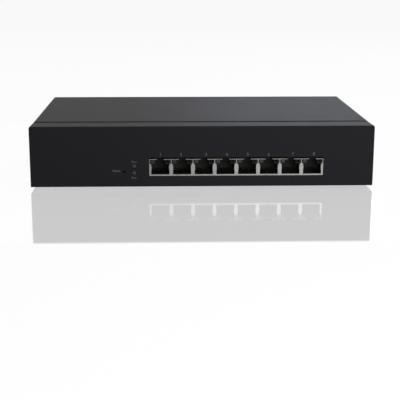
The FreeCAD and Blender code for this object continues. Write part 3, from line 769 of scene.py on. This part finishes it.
def print_words(name, marks):
    """One piece of printed marks, each given as (text, middle x, middle z, letter height) in mm."""
    merged = bmesh.new()
    upright = Matrix.Rotation(QUARTER_TURN, 4, "X")
    for text, x, z, height in marks:
        letters = flat_letters(text, height)
        letters.transform(Matrix.Translation((x * MM, INK_Y, z * MM)) @ upright)
        merged.from_mesh(letters)
        bpy.data.meshes.remove(letters)
    mesh = bpy.data.meshes.new(name)
    merged.to_mesh(mesh)
    merged.free()
    mesh.materials.append(grey_ink)
    keep(name, mesh)


print("ink goes on the front at y =", round(FRONT_Y, 4))

# %% Numbers over the sockets, words by the lamps and the reset hole
NUMBER_X_MM = (-27.0, -13.75, 2.2, 15.45, 28.9, 42.35, 58.0, 71.5)
NUMBER_Z_MM = 23.1
NUMBER_HEIGHT_MM = 1.9
numbers = [(str(i), x, NUMBER_Z_MM, NUMBER_HEIGHT_MM) for i, x in enumerate(NUMBER_X_MM, 1)]
print_words("port_numbers", numbers)
words = [("Reset", -55.1, 12.7, 1.5), ("Pwr", -43.65, 18.35, 1.4), ("Run", -44.0, 8.0, 1.4)]
print_words("lamp_words", words)
print("printed", len(numbers), "numbers and", len(words), "words")

# %% [markdown]
# ## Studio
# The photograph shows the switch in plain soft light on white, with a mirror image below it that ends a
# hand's width in front. So the switch stands on a white table on a glossy sheet that ends there. White
# could come from strong lamps, but they would wash out the switch. Instead the world is white to the
# camera and to mirror rays and dimmer as a source of light, and the table does the same.

# %% World
AMBIENT = 0.35
BACKDROP = 1.0
WHITE = (1, 1, 1, 1)
scene.view_settings.view_transform = "Standard"
scene.world = bpy.data.worlds.new("studio")
scene.world.use_nodes = True


def seen_rays(graph):
    """1 for rays from the camera, a mirror or glass, 0 for rays that carry light."""
    kinds = ("Is Camera Ray", "Is Glossy Ray", "Is Transmission Ray")
    camera_ray, mirror_ray, glass_ray = (graph.node("ShaderNodeLightPath", output=kind) for kind in kinds)
    return graph.math("MAXIMUM", graph.math("MAXIMUM", camera_ray, mirror_ray), glass_ray)


def blend(graph, factor, first, second):
    """A mix of two shaders."""
    return graph.node("ShaderNodeMixShader", sockets={0: factor, 1: first, 2: second})


sky = Graph(scene.world.node_tree)
ambient = sky.node("ShaderNodeBackground", sockets={"Color": WHITE, "Strength": AMBIENT})
backdrop = sky.node("ShaderNodeBackground", sockets={"Color": WHITE, "Strength": BACKDROP})
sky_surface = sky.tree.nodes["World Output"].inputs["Surface"]
sky.feed(sky_surface, blend(sky, seen_rays(sky), ambient, backdrop))
print("world set:", BACKDROP, "as seen,", AMBIENT, "as light")

# %% [markdown]
# The table is one large square. Its surface mixes three shaders: a matt grey that carries light and
# takes shadows, a white glow that only the camera and mirrors see, and a mirror over the sheet. The
# sheet could be a second mesh, but then its rim would show. Here it is a mask that fades out within a
# few millimetres, made from the distance along X and Y.

# %% The table
TABLE_REACH = 6.0
TABLE_Z = -0.1 * MM  # a hair below the feet, so that no two faces coincide
corners = [(x * TABLE_REACH, y * TABLE_REACH, TABLE_Z) for x, y in ((-1, -1), (1, -1), (1, 1), (-1, 1))]
floor_mesh = bpy.data.meshes.new("floor")
floor_mesh.from_pydata(corners, [], [(0, 1, 2, 3)])
floor = bpy.data.objects.new("floor", floor_mesh)
scene.collection.objects.link(floor)
print("table", 2 * TABLE_REACH, "m wide")

# %% The table's surface, with a glossy sheet
TABLE_GREY = (0.5, 0.5, 0.5, 1)
GLOW = 1.05
SHADOW_SHARE = 0.12  # how much of the matt table, which takes shadows, shows in the glow
MIRROR_SHARE = 0.40
MIRROR_ROUGHNESS = 0.06
SHEET_MARGIN = 0.12
SHEET_EDGE = 0.002
white_table = bpy.data.materials.new("white_table")
white_table.use_nodes = True
floor_mesh.materials.append(white_table)
table = Graph(white_table.node_tree)
table.tree.nodes.remove(table.tree.nodes["Principled BSDF"])


def within(axis, half):
    """1 over the sheet and 0 beyond it, along one axis."""
    place = table.node("ShaderNodeTexCoord", output="Object")
    along = table.node("ShaderNodeSeparateXYZ", sockets={"Vector": place}, output=axis)
    aside = table.math("ABSOLUTE", along)
    edges = {"Value": aside, "From Min": half + SHEET_EDGE, "From Max": half - SHEET_EDGE}
    return table.node("ShaderNodeMapRange", sockets=edges)


sheet = within("X", cad_bounds[1][0] + SHEET_MARGIN) * within("Y", cad_bounds[1][1] + SHEET_MARGIN)
matt = table.node("ShaderNodeBsdfDiffuse", sockets={"Color": TABLE_GREY})
glow = table.node("ShaderNodeEmission", sockets={"Color": WHITE, "Strength": GLOW})
mirror = table.node("ShaderNodeBsdfGlossy", sockets={"Color": WHITE, "Roughness": MIRROR_ROUGHNESS})
pale = blend(table, SHADOW_SHARE, glow, matt)
looks = blend(table, MIRROR_SHARE * sheet, pale, mirror)
table_surface = table.tree.nodes["Material Output"].inputs["Surface"]
table.feed(table_surface, blend(table, seen_rays(table), matt, looks))
print("glossy for", round(SHEET_MARGIN / MM), "mm around the switch")

# %% [markdown]
# ## Lamps of the studio
# Five soft lamps: one overhead, one near the camera that looks into the sockets, a bluish one at the
# right that lifts that end of the front, one high behind for the back, and a small low one behind. The
# top is seen at a flat angle, so it mirrors what stands low behind it: the small lamp draws the soft,
# slightly blue sheen right of the middle. Area lamps are used because their size sets how soft the
# light is.

# %% Five soft lamps
def soft_lamp(name, place, target, size, power, tint=(1, 1, 1)):
    """A rectangular soft lamp at a place in metres that faces a target."""
    lamp = bpy.data.lights.new(name, "AREA")
    lamp.shape = "RECTANGLE"
    lamp.size, lamp.size_y = size
    lamp.energy = power
    lamp.color = tint
    holder = bpy.data.objects.new(name, lamp)
    aim = (Vector(target) - Vector(place)).to_track_quat("-Z", "Y")
    holder.matrix_world = Matrix.Translation(place) @ aim.to_matrix().to_4x4()
    holder.visible_camera = False
    scene.collection.objects.link(holder)
    print(name, power, "W")


AIM = (0.04, 0, 0.04)
soft_lamp("overhead_lamp", place=(0.0, 0.1, 1.2), target=(0, 0, 0), size=(1.0, 0.8), power=4.0)
soft_lamp(
    "front_lamp", place=(0.15, -0.60, 0.14), target=(0.03, -0.07, 0.03),
    size=(0.3, 0.3), power=2.0, tint=(0.95, 0.96, 1.0),
)
soft_lamp(
    "rear_lamp", place=(0.50, 0.70, 0.75), target=AIM,
    size=(0.5, 0.4), power=4.0, tint=(0.94, 0.95, 1.0),
)
soft_lamp(
    "sheen_lamp", place=(0.11, 0.38, 0.16), target=AIM,
    size=(0.2, 0.1), power=0.11, tint=(0.70, 0.76, 1.0),
)
soft_lamp(
    "side_lamp", place=(0.50, -0.28, 0.25), target=AIM,
    size=(0.3, 0.3), power=1.3, tint=(0.68, 0.69, 1.0),
)
